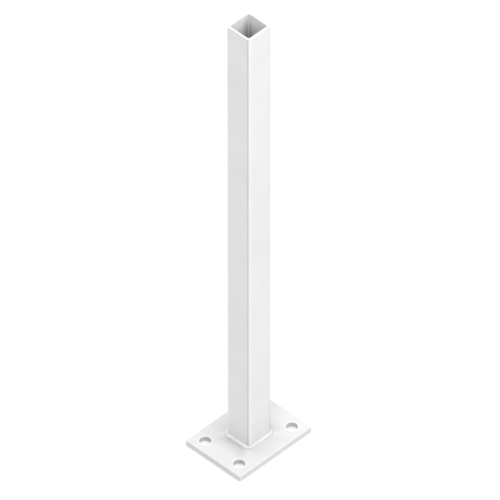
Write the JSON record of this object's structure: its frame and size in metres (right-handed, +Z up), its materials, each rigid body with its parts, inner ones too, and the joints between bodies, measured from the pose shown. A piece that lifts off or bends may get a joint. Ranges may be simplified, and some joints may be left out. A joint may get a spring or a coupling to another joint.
{
  "type": "newel post",
  "caption": "Square steel newel post, open at the top, welded to a flat rectangular base plate drilled for floor anchors.",
  "frame": {"origin": "on the floor, at the middle of the base plate's underside and on the tube's centre line", "axes": "+Z up along the tube, X across the plate's short way, Y along the plate's long way"},
  "size_m": [0.124, 0.166, 0.9],
  "materials": {
    "tube_coat": "white satin powder coat on steel tube, fine orange-peel texture, thinning to bare steel deep inside",
    "plate_coat": "white satin powder coat on steel plate",
    "bead_coat": "white satin powder coat over a rippled weld bead"
  },
  "bodies": {
    "root": {"post_tube": "tube_coat", "base_plate": "plate_coat", "weld_bead": "bead_coat"}
  },
  "joints": []
}
